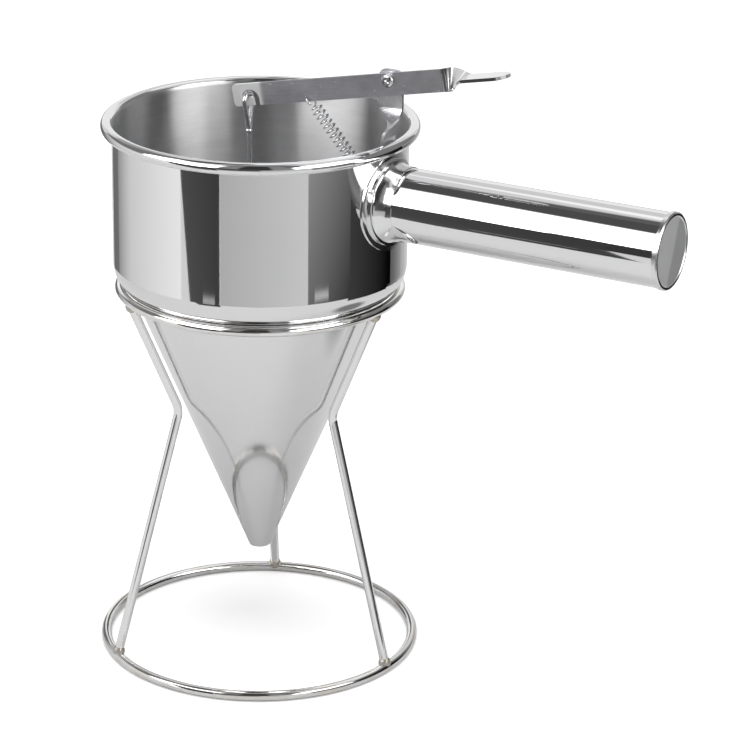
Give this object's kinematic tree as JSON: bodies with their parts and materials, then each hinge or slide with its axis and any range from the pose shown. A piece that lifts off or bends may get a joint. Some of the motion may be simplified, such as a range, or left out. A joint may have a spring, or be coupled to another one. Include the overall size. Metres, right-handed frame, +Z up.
{
  "type": "pancake batter dispenser",
  "caption": "Steel batter dispensing funnel with a hollow handle and a spring lever valve, on a wire stand.",
  "frame": {"origin": "on the table, on the funnel's axis, under the middle of the base ring", "axes": "+Z up along the funnel's axis, +X along the handle away from the bowl, +Y to the back"},
  "size_m": [0.2792, 0.1508, 0.2963],
  "materials": {
    "polished_steel": "polished stainless steel",
    "satin_steel": "satin stainless steel",
    "stand_wire": "bright stainless wire",
    "weld": "ground weld metal",
    "fasteners": "turned steel",
    "spring_steel": "bright spring wire"
  },
  "bodies": {
    "stand": {"upper_ring": "stand_wire", "base_ring": "stand_wire", "right_leg": "stand_wire", "back_leg": "stand_wire", "left_leg": "stand_wire", "upper_welds": "weld", "base_welds": "weld"},
    "funnel": {"bowl": "polished_steel", "cone": "satin_steel", "handle_plate": "polished_steel", "handle_collar": "polished_steel", "handle_tube": "polished_steel", "handle_cap": "satin_steel", "lever_bracket": "satin_steel", "bracket_welds": "weld", "pivot_screw": "fasteners", "pivot_washer": "fasteners", "pivot_nut": "fasteners", "return_spring": "spring_steel"},
    "lever": {"lever": "satin_steel"},
    "valve": {"valve_rod": "satin_steel", "valve_plug": "satin_steel"}
  },
  "joints": [
    {"name": "funnel_lift", "type": "slide", "parent": "stand", "child": "funnel", "axis": [0, 0, 1], "range_m": [0, 0.14]},
    {"name": "lever_pivot", "type": "hinge", "parent": "funnel", "child": "lever", "pos_m": [0.067, -0.00325, 0.285], "axis": [0, 1, 0], "range_deg": [0, 12], "stiffness_Nm_per_rad": 0.56, "springref_deg": -12.03, "deforming": ["return_spring"]},
    {"name": "valve_lift", "type": "slide", "parent": "funnel", "child": "valve", "axis": [0, 0, 1], "range_m": [0, 0.0155]}
  ],
  "couplings": [
    {"joint": "valve_lift", "follows": "lever_pivot", "m_per_rad": 0.073}
  ]
}
